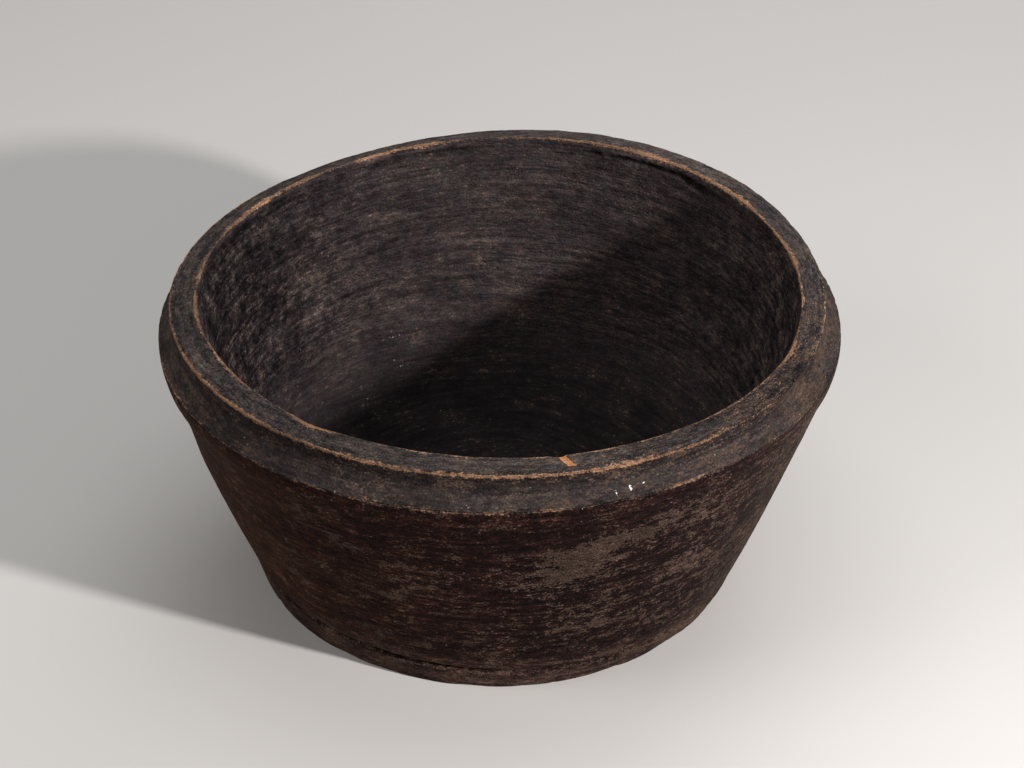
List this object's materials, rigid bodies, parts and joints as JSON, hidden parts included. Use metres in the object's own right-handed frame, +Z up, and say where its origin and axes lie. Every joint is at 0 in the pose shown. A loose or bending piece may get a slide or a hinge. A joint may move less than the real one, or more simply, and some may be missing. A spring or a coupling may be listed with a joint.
{
  "type": "turned wooden bowl",
  "caption": "Round turned wooden bowl with a flat foot, flared wall and stepped collar rim with a hollow moulding, dark worn patina.",
  "frame": {"origin": "centre of the foot's flat underside", "axes": "+Z up through the bowl's mouth, along the axis that it was turned about"},
  "size_m": [0.28, 0.28, 0.1275],
  "materials": {
    "foot_wood": "dark brown patina, matt, rubbed to tan at the edges",
    "wall_wood": "dark brown patina with taupe worn patches, low sheen outside, rough and nearly black inside",
    "rim_wood": "grey-black patina, matt, worn to bare orange-tan wood along the arrises"
  },
  "bodies": {
    "root": {"foot": "foot_wood", "body_wall": "wall_wood", "rim_collar": "rim_wood"}
  },
  "joints": []
}
